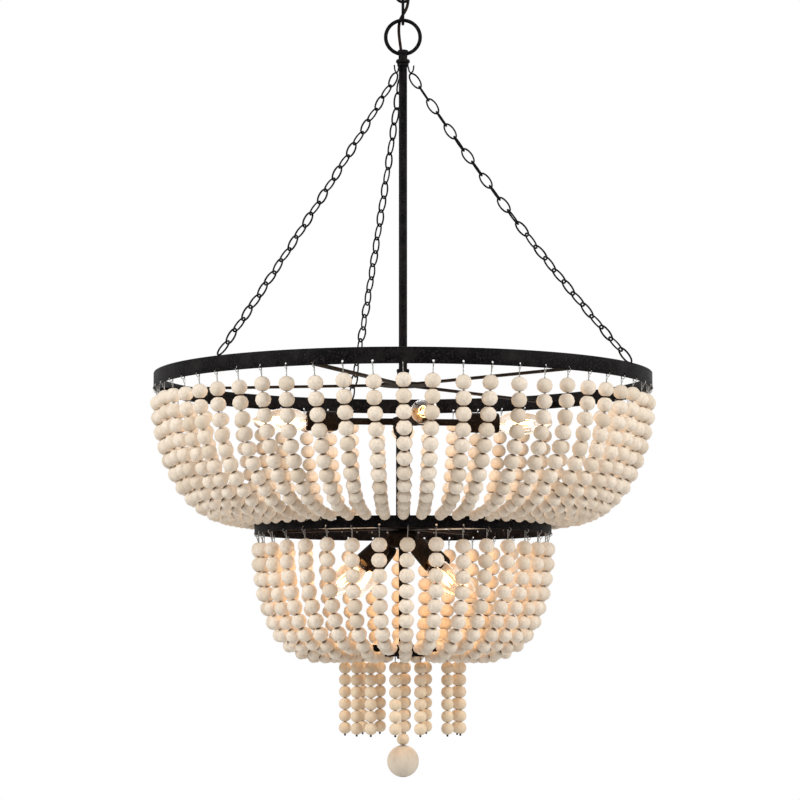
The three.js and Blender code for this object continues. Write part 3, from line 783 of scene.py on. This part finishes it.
hoopSet = {
    "upper": {"radius": 0.325, "height": 0.02, "thickness": 0.0025, "top": -0.6061, "sides": 224},
    "middle": {"radius": 0.193, "height": 0.015, "thickness": 0.0025, "top": -0.7992, "sides": 136},
    "lower": {"radius": 0.076, "height": 0.015, "thickness": 0.0022, "top": -0.9572, "sides": 96},
    "edge": 0.0005,
}
strandAzimuths = {
    "upper": [-90 + 360 * i / 56 for i in range(56)],
    "middle": [-88.2 + 360 * i / 34 for i in range(34)],
    "short": [-97.5, -73, -41, -10, 20, 66, 88, 114, 135, 182, 218, 237],
}
holeRows = {
    "upper": [("upper", -0.6227)],
    "middle": [("upper", -0.8024), ("middle", -0.8108)],
    "lower": [("middle", -0.9647), ("short", -0.969)],
}
holeSet = {"radius": 0.0016, "length": 0.008, "sides": 8}


def addHoop(tier):
    size = hoopSet[tier]
    height, wall = size["height"], size["thickness"]
    band = addTube(size["radius"], height, size["sides"], size["top"] - height / 2, "NOTHING")
    thicken(band, wall)
    roundEdges(band, hoopSet["edge"], 60, 35)
    model = addTube(holeSet["radius"], holeSet["length"], holeSet["sides"])
    drills = []
    for strands, holeHeight in holeRows[tier]:
        reach = Matrix.Translation((size["radius"] - wall / 2, 0, holeHeight))
        for azimuth in strandAzimuths[strands]:
            drills.append(copied(model, turnAbout(azimuth) @ reach @ turnAbout(90, "Y")))
    drill = joinPieces(drills, "hoopDrill")
    holes = band.modifiers.new("holes", "BOOLEAN")
    holes.operation = "DIFFERENCE"
    holes.object = drill
    applyModifiers(band)
    removePieces(model, drill)
    smoothShade(band, 35)
    placeBronze(band, tier + "_band", tier + "_hoop")


spokeSet = {
    "upper": {"plate": 0.031, "width": 0.011, "top": -0.6171, "azimuths": [316, 50, 171, 247]},
    "middle": {"plate": 0.031, "width": 0.011, "top": -0.8048, "azimuths": [-30, 60, 150, 240]},
    "lower": {"plate": 0.018, "width": 0.009, "top": -0.9627, "azimuths": [-30, 90, 210]},
    "thickness": 0.003, "thinner": 0.96, "edge": 0.0006, "overlap": 0.004,
    "rodGap": 0.0003, "hoopGap": 0.0002,
}


def addSpokes(tier):
    size, rim, thickness, edge = spokeSet[tier], hoopSet[tier], spokeSet["thickness"], spokeSet["edge"]
    outer, top, foot = size["plate"], size["top"], size["top"] - thickness
    inner = rodSet["radius"] + spokeSet["rodGap"]
    bars = [spinProfile("spokePlate", [
        (inner, foot), (outer - edge, foot), (outer, foot + edge), (outer, top - edge),
        (outer - edge, top), (inner, top), (inner, foot),
    ], 64)]
    start = outer - spokeSet["overlap"]
    reach = rim["radius"] - rim["thickness"] - spokeSet["hoopGap"]
    for azimuth in size["azimuths"]:
        # a little thinner than the plate, so that no two faces share a plane
        spot = ((reach + start) / 2, 0, top - thickness / 2)
        bar = addBar((reach - start, size["width"], thickness * spokeSet["thinner"]), spot)
        roundEdges(bar, edge, 40, 35)
        bar.matrix_world = turnAbout(azimuth)
        bars.append(bar)
    placeBronze(joinPieces(bars, tier + "Spokes"), tier + "_flat_spokes", tier + "_spokes", brown=True)


couplingOutline = [
    (0.0058, -0.6168), (0.0076, -0.6168), (0.00835, -0.6161), (0.00835, -0.6135), (0.0078, -0.6129),
    (0.0078, -0.6017), (0.00835, -0.6011), (0.00835, -0.5985), (0.0076, -0.5978), (0.0058, -0.5978),
    (0.0058, -0.6168),
]
tubeOutline = [
    (0.0058, -0.8045), (0.0086, -0.8045), (0.0091, -0.804), (0.0091, -0.6743), (0.0086, -0.6738),
    (0.0058, -0.6738), (0.0058, -0.8045),
]
nutOutline = [
    (0, -0.9752), (0.0066, -0.9752), (0.008, -0.9746), (0.008, -0.9718), (0.0066, -0.9712), (0, -0.9712),
]


def addRodFittings():
    placeBronze(spinProfile("coupling", couplingOutline, 48), "rod_sleeve", "rod_coupling")
    placeBronze(spinProfile("tube", tubeOutline, 48), "thick_tube", "spacer_tube")
    nut = spinProfile("nut", nutOutline, 6, 0)
    roundEdges(nut, 0.0003, 50, 25)
    placeBronze(nut, "rod_end_nut", "rod_nut")


for tier in ("upper", "middle", "lower"):
    addHoop(tier)
    addSpokes(tier)
addRodFittings()
print("hoops made")

# Light clusters

clusterSet = {
    "upper": {
        "hub": 0.015, "hubHeight": 0.013, "centre": -0.667, "azimuths": [-80, 8, 90, 188], "slope": 0,
        "lampStart": 0.0845,
    },
    "lower": {
        "hub": 0.02, "hubHeight": 0.022, "centre": -0.82, "azimuths": [-54, 36, 126, 216], "slope": 37,
        "lampStart": 0.0394,
    },
}
armSet = {"radius": 0.0044, "edge": 0.0004, "gap": 0.0003}
lampSet = {
    "holder": [
        (0, 0), (0.0075, 0), (0.0105, 0.0008), (0.0125, 0.0028), (0.013, 0.0055), (0.013, 0.0395),
        (0.0127, 0.0412), (0.0122, 0.042), (0.0115, 0.0418), (0.0113, 0.0405), (0.0113, 0.0225),
        (0.0108, 0.022), (0, 0.022),
    ],
    "base": [
        (0, 0.0223), (0.003, 0.0223), (0.0034, 0.0234), (0.0058, 0.024),
        *[(0.0056 if i % 2 else 0.006, 0.0255 + 0.0011 * i) for i in range(9)],  # its thread
        (0.0058, 0.0396), (0.005, 0.0403), (0, 0.0404),
    ],
    "glass": [
        (0.0056, 0.0398), (0.007, 0.0425), (0.0098, 0.046), (0.0126, 0.0505), (0.0147, 0.056),
        (0.0158, 0.062), (0.016, 0.068), (0.0155, 0.0745), (0.0144, 0.0815), (0.0127, 0.0885),
        (0.0104, 0.0955), (0.0078, 0.1015), (0.005, 0.1065), (0.0024, 0.1105), (0.0009, 0.1126),
        (0, 0.113),
    ],
    "stem": [
        (0, 0.04), (0.004, 0.0405), (0.0018, 0.044), (0.0012, 0.049), (0.002, 0.0515), (0, 0.0525),
    ],
    "filament": 0.0009, "filamentFoot": 0.052, "filamentTop": 0.088,
    "glow": 0.24, "glowColour": (1.0, 0.6, 0.28), "glowHeight": 0.07, "glowRadius": 0.008,
}


def armMatrix(cluster, azimuth):
    lift = cluster["hub"] * math.tan(math.radians(cluster["slope"])) + cluster["centre"]
    return Matrix.Translation((0, 0, lift)) @ turnAbout(azimuth) @ turnAbout(90 + cluster["slope"], "Y")


def modelLampHeart():
    # screw base, glass stem and four hairpin filaments
    parts = [
        paint(spinProfile("lampBase", lampSet["base"], 32, 30), lampBrass),
        paint(spinProfile("lampStem", lampSet["stem"], 16, 60), lampGlass),
    ]
    low, high = lampSet["filamentFoot"], lampSet["filamentTop"]
    for i in range(4):
        hairpin = smoothLine([
            (0.0012, 0, low), (0.0042, 0, low + 0.009), (0.005, 0, high - 0.006), (0.0034, 0, high),
            (0.0018, 0, high - 0.007), (0.001, 0, low + 0.006),
        ], 3)
        wire = paint(bentWire("filament", hairpin, lampSet["filament"], 0), filamentGlow)
        wire.matrix_world = turnAbout(90 * i + 20)
        parts.append(wire)
    return joinPieces(parts, "lampHeart")


def addHub(tier):
    cluster = clusterSet[tier]
    half = cluster["hubHeight"] / 2
    top, foot, radius = cluster["centre"] + half, cluster["centre"] - half, cluster["hub"]
    parts = [spinProfile("lightHub", [
        (0.0058, foot), (radius - 0.0055, foot), (radius - 0.0018, foot + 0.0014), (radius, foot + 0.004),
        (radius, top - 0.004), (radius - 0.0018, top - 0.0014), (radius - 0.0055, top), (0.0058, top),
        (0.0058, foot),
    ], 56)]
    inner = radius / math.cos(math.radians(cluster["slope"])) - armSet["radius"]
    outer = cluster["lampStart"] - armSet["gap"]
    for azimuth in cluster["azimuths"]:
        arm = addTube(armSet["radius"], outer - inner, 20, (inner + outer) / 2)
        # a small collar where the tube meets the holder
        insetFaces(arm, lambda face: face.normal.z > 0.9, 2 * armSet["edge"])
        roundEdges(arm, armSet["edge"], 50, 40)
        arm.matrix_world = armMatrix(cluster, azimuth)
        parts.append(arm)
    placeBronze(joinPieces(parts, tier + "Hub"), tier + "_hub_and_arms", tier + "_light_hub", brown=True)


def addLamps(tier):
    cluster = clusterSet[tier]
    for i, azimuth in enumerate(cluster["azimuths"]):
        seat = armMatrix(cluster, azimuth) @ Matrix.Translation((0, 0, cluster["lampStart"]))
        number = str(i + 1)
        holder, glass, heart = seated(holderModel, seat), seated(glassModel, seat), seated(heartModel, seat)
        placeBronze(holder, tier + "_holder_" + number, tier + "_socket_" + number, brown=True)
        glass.visible_shadow = False
        place(glass, tier + "_lamp_glass_" + number, [tier + "_bulb_" + number])
        place(heart, tier + "_lamp_heart_" + number)
        deselectAll()
        bpy.ops.object.light_add(type="POINT", location=seat @ Vector((0, 0, lampSet["glowHeight"])))
        lamp = bpy.context.object
        lamp.data.energy = lampSet["glow"]
        lamp.data.color = lampSet["glowColour"]
        lamp.data.shadow_soft_size = lampSet["glowRadius"]
        lamp.visible_glossy = False
        lamp.visible_transmission = False
        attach(lamp, "chandelier")


holderModel = spinProfile("lampHolder", lampSet["holder"], 40)
heartModel = modelLampHeart()
glassModel = paint(spinProfile("lampGlass", lampSet["glass"], 40, 60), lampGlass)
for tier in ("upper", "lower"):
    addHub(tier)
    addLamps(tier)
removePieces(holderModel, heartModel, glassModel)
print("lights made")

# Beads

beadSet = {
    "diameter": 0.02, "length": 0.0191, "bulge": (1.05, 1.05, 0.975), "lean": 0.07, "slip": 0.0004,
    "liftFrom": 0.62, "liftOver": 0.26,  # where a strand is lifted, as shares of its length
}
# how far a strand stands to the side at mid length, and how much lower its beads hang
strandSways = [(-0.0032, 0.0008), (0.0004, -0.0012), (0.003, 0.0014), (-0.0014, 0.0), (0.0018, -0.0006)]
smallBead = {"diameter": 0.016, "length": 0.0154, "height": 0.0159}
stringDiameter = 0.001


def modelBead(name, diameter, length, sides, rings):
    # a sphere with fuller shoulders and flattened ends, its hole along Z
    sphere = bpy.ops.mesh.primitive_uv_sphere_add
    bead = startPiece(name, sphere, segments=sides, ring_count=rings, radius=diameter / 2)
    shoulder = diameter / 2 * math.sin(math.radians(45))
    # all but the middle and the poles
    shapeParts(
        bead, "VERT", lambda vertex: shoulder < abs(vertex.co.z) < diameter / 2 * 0.999,
        bpy.ops.transform.resize, value=beadSet["bulge"], center_override=(0, 0, 0),
    )
    bead.scale.z = length / diameter
    applyPlace(bead)
    smoothShade(bead, 80)
    return bead


def toneBeads(piece, perBead, pieceCount):
    # one tone for each bead, from pale to warm
    tone = piece.data.attributes.new("beadTone", "FLOAT", "POINT")
    values = []
    for _ in range(pieceCount):
        values += [random.random() ** 2] * perBead
    values += [0.3] * (len(piece.data.vertices) - len(values))
    tone.data.foreach_set("value", values)


def standOn(lower, upper):
    # turns a bead so that its hole runs from one point to the other
    along = (upper - lower).normalized()
    return Matrix.Translation((lower + upper) / 2) @ along.to_track_quat("Z", "Y").to_matrix().to_4x4()


tierSet = {
    "upper": {
        "beads": 13, "fullBeads": 7, "footShare": 0.7, "leader": 0.0125, "crowding": 0.0,
        "start": (0.32049, -0.6236), "end": (0.1942, -0.8017),
        "shares": [(0, 0), (0.005, 0.125), (0.044, 0.335), (0.127, 0.537), (0.273, 0.734), (0.475, 0.885),
                   (0.748, 0.964), (0.898, 0.978), (1, 1)],
        "topRing": (0.3233, -0.6261), "footRing": (0.1925, -0.7992),
    },
    "middle": {
        "beads": 12, "fullBeads": 7, "footShare": 0.675, "leader": 0.014, "crowding": 0.0055,
        "start": (0.18819, -0.8117), "end": (0.0772, -0.9647),
        "shares": [(0, 0), (0, 0.162), (0.011, 0.287), (0.065, 0.534), (0.177, 0.768), (0.258, 0.877),
                   (0.38, 0.961), (0.533, 1.006), (0.7, 1.023), (0.866, 1.02), (1, 1)],
        "topRing": (0.1913, -0.8142),
    },
}
hookSet = {"radius": 0.0024, "wire": 0.0009, "stem": 0.0008, "twist": 0.0005, "lap": 14, "steps": 8}


def beadShares(size):
    # the size of each bead as a share of a full one
    shares = []
    for i in range(size["beads"]):
        shrink = max(0, i + 1 - size["fullBeads"]) / (size["beads"] - size["fullBeads"])
        shares.append(1 + (size["footShare"] - 1) * shrink)
    return shares


def strandPoints(tier, lift, sway, slack):
    # the top of the string, the ends of each bead, and the foot, swayed sideways between the ends
    size = tierSet[tier]
    (r0, z0), (r1, z1) = size["start"], size["end"]
    line = smoothLine([(r0 + (r1 - r0) * a, 0, z0 + (z1 - z0) * b) for a, b in size["shares"]], 24)
    pointAt, length = alongLine(line)
    distances = [0.0, size["leader"] + slack]
    for share in beadShares(size):
        distances.append(distances[-1] + share * beadSet["length"])
    distances.append(length)
    points = []
    for distance in distances:
        point = pointAt(distance).copy()
        share = max(0.0, min(1.0, (distance / length - beadSet["liftFrom"]) / beadSet["liftOver"]))
        point.z += lift * share * share * (3 - 2 * share)
        point.y += sway * math.sin(math.pi * distance / length)
        points.append(point)
    return points


def modelStrand(tier, lift, sway, slack):
    points = strandPoints(tier, lift, sway, slack)
    beads = []
    for i, share in enumerate(beadShares(tierSet[tier])):
        spot = standOn(points[i + 2], points[i + 1]) @ Matrix.Scale(share, 4)
        lean = Matrix.Rotation(random.uniform(-beadSet["lean"], beadSet["lean"]), 4, "X")
        slip = Matrix.Translation((0, random.uniform(-beadSet["slip"], beadSet["slip"]), 0))
        beads.append(copied(beadModel, spot @ slip @ lean))
    string = bentWire("string", points, stringDiameter, 0, False)
    return joinPieces(beads, "strandBeads"), string, points


def modelHook(centre, point):
    # a small ring through the hoop's hole, and the twisted end of the wire below it
    radius, height = centre
    ring = wireRing("hookRing", hookSet["radius"], hookSet["wire"], 0, 12, 4)
    ring.location = (radius, 0, height)
    side = -1 if point.z < height else 1
    start = Vector((radius, 0, height + side * hookSet["radius"]))
    twist = []
    for i in range(hookSet["steps"] + 1):
        t = i / hookSet["steps"]
        angle = t * hookSet["lap"]
        around = Vector((math.cos(angle), math.sin(angle), 0))
        twist.append(start.lerp(point, t) + hookSet["twist"] * around)
    stem = bentWire("hookStem", twist, hookSet["stem"], 0, False)
    return joinPieces([ring, stem], "hook")


def addTier(tier):
    size = tierSet[tier]
    lifts = [-size["crowding"], size["crowding"]] if size["crowding"] else [0.0]
    models = []
    for sway, slack in strandSways:
        for lift in lifts:
            beads, string, points = modelStrand(tier, lift, sway, slack)
            wires = [string, modelHook(size["topRing"], points[1])]
            if "footRing" in size:
                wires.append(modelHook(size["footRing"], points[-2]))
            models.append((beads, joinPieces(wires, "strandWire")))
    beadCopies, wireCopies = [], []
    for i, azimuth in enumerate(strandAzimuths[tier]):
        # neighbours are lifted by turns, and each is swayed by chance
        beads, wire = models[random.randrange(len(strandSways)) * len(lifts) + i % len(lifts)]
        turn = turnAbout(azimuth)
        beadCopies.append(copied(beads, turn))
        wireCopies.append(copied(wire, turn))
    for model in models:
        removePieces(*model)
    whole = joinPieces(beadCopies, tier + "Beads")
    toneBeads(whole, len(beadModel.data.vertices), len(beadCopies) * size["beads"])
    place(whole, tier + "_tier_beads", [tier + "_strands"])
    wiring = joinPieces(wireCopies, tier + "Wires")
    place(paint(wiring, wireMetal), tier + "_tier_wires")


beadModel = paint(modelBead("bead", beadSet["diameter"], beadSet["length"], 12, 6), beadWood)
for tier in ("upper", "middle"):
    addTier(tier)
removePieces(beadModel)
print("bead tiers made")

dropSet = {
    "radius": 0.0749, "top": -0.9725, "leader": 0.0063, "beads": 6,
    "ring": 0.0026, "wire": 0.0008, "ringHeight": -0.0022,
}
pendantSet = {"top": -0.9755, "leader": 0.0026, "beads": 7, "ball": 0.0205, "hole": 0.0017, "sunk": 0.998}


def modelHanging(name, hang):
    # small beads and their string, and the height of the string's foot
    foot = -hang["leader"] - hang["beads"] * smallBead["length"]
    beads = []
    for i in range(hang["beads"]):
        height = -hang["leader"] - (i + 0.5) * smallBead["length"]
        beads.append(copied(smallModel, Matrix.Translation((0, 0, height))))
    whole = joinPieces(beads, name + "Beads")
    string = bentWire(name + "String", [(0, 0, 0), (0, 0, foot)], stringDiameter, 0, False)
    return whole, paint(string, wireMetal), foot


def modelCrimp(top):
    crimp = spinProfile("crimp", [
        (0, top - 0.0024), (0.0008, top - 0.0024), (0.0013, top - 0.0019), (0.0013, top - 0.0006),
        (0.0009, top), (0, top),
    ], 12, 50)
    return paint(crimp, brownBronze)


def addDrops():
    beads, string, foot = modelHanging("drop", dropSet)
    ring = wireRing("dropRing", dropSet["ring"], dropSet["wire"], 0, 12, 4)
    ring.location.z = dropSet["ringHeight"]
    model = joinPieces([beads, paint(ring, wireMetal), string, modelCrimp(foot)], "dropModel")
    for i, azimuth in enumerate(strandAzimuths["short"]):
        hole = Matrix.Translation(polar(dropSet["radius"], azimuth, dropSet["top"]))
        drop = seated(model, hole @ turnAbout(azimuth))
        toneBeads(drop, len(smallModel.data.vertices), dropSet["beads"])
        node = "drop_strand_%d" % (i + 1)
        place(drop, "short_strand_%d" % (i + 1), [node], node)
    removePieces(model)


def addPendant():
    beads, string, foot = modelHanging("pendant", pendantSet)
    height = foot - pendantSet["ball"]
    ball = startPiece(
        "ball", bpy.ops.mesh.primitive_uv_sphere_add,
        segments=64, ring_count=40, radius=pendantSet["ball"], location=(0, 0, height),
    )
    # slightly sunk round its holes
    shapeParts(
        ball, "VERT", lambda vertex: vertex.co.xy.length < pendantSet["hole"], bpy.ops.transform.resize,
        value=(1, 1, pendantSet["sunk"]), center_override=(0, 0, height),
    )
    smoothShade(ball, 80)
    paint(ball, ballWood)
    whole = joinPieces([beads, string, ball], "pendant")
    whole.location.z = pendantSet["top"]
    applyPlace(whole)
    toneBeads(whole, len(smallModel.data.vertices), pendantSet["beads"])
    place(whole, "long_strand_and_ball", ["pendant_strand"], "pendant_strand")


smallModel = paint(modelBead("smallBead", smallBead["diameter"], smallBead["height"], 16, 8), dropWood)
addDrops()
addPendant()
removePieces(smallModel)
print("drops and ball made")

# Floor, world and lights

stageSet = {
    "floor": -1.9, "size": 40, "floorColour": (0.8, 0.8, 0.8, 1), "ambient": 0.16, "fade": (1.2, 4.5),
    "aim": (0, 0, -0.7),
}
lightSet = [
    {"name": "front", "place": (0.1, -3.6, 1.1), "size": 0.9, "energy": 34},
    {"name": "left", "place": (-3.1, -1.5, 0.6), "size": 1.8, "energy": 104},
    {"name": "right", "place": (3.1, -1.5, 0.6), "size": 1.8, "energy": 97},
    {"name": "back", "place": (0.2, 3.2, 0.8), "size": 2.4, "energy": 34},
]


def mixShaders(nodes, share, first, second, output):
    sources = {0: share, 1: first.outputs[0], 2: second.outputs[0]}
    blend = addNode(nodes, "ShaderNodeMixShader", sources)
    feed(blend.outputs["Shader"], nodes[output].inputs["Surface"])


def addFloor():
    deselectAll()
    bpy.ops.mesh.primitive_plane_add(size=stageSet["size"], location=(0, 0, stageSet["floor"]))
    floor = bpy.context.object
    floor.name = "studioFloor"
    values = {"Base Color": stageSet["floorColour"], "Roughness": 0.9}
    material, nodes, shader = newMaterial("studioFloor", values)
    # the floor fades out into the white background
    length = addNode(nodes, "ShaderNodeVectorMath", {0: ownPlace(nodes)}, operation="LENGTH").outputs["Value"]
    fade = addRange(nodes, length, *stageSet["fade"], 0, 1, interpolation_type="SMOOTHSTEP")
    mixShaders(nodes, fade, shader, nodes.new("ShaderNodeBsdfTransparent"), "Material Output")
    paint(floor, material)


def addWorld():
    # white to the camera and in reflections, and a softer light on the object
    world = bpy.data.worlds.new("studio")
    bpy.context.scene.world = world
    world.use_nodes = True
    nodes = world.node_tree.nodes
    soft = nodes["Background"]
    soft.inputs["Color"].default_value = (1, 1, 1, 1)
    soft.inputs["Strength"].default_value = stageSet["ambient"]
    white = addNode(nodes, "ShaderNodeBackground", {"Color": (1, 1, 1, 1), "Strength": 1})
    path = nodes.new("ShaderNodeLightPath")
    seen = path.outputs["Is Camera Ray"]
    for kind in ("Is Glossy Ray", "Is Transmission Ray"):
        seen = addMath(nodes, "MAXIMUM", seen, path.outputs[kind])
    mixShaders(nodes, seen, soft, white, "World Output")


def addLights():
    for light in lightSet:
        deselectAll()
        spot = Vector(light["place"])
        aim = (Vector(stageSet["aim"]) - spot).to_track_quat("-Z", "Y").to_euler()
        bpy.ops.object.light_add(type="AREA", location=spot, rotation=aim)
        lamp = bpy.context.object
        lamp.name = light["name"]
        lamp.data.energy = light["energy"]
        lamp.data.size = light["size"]


addFloor()
addWorld()
addLights()
bpy.context.scene.view_settings.view_transform = "Standard"
print("studio made")
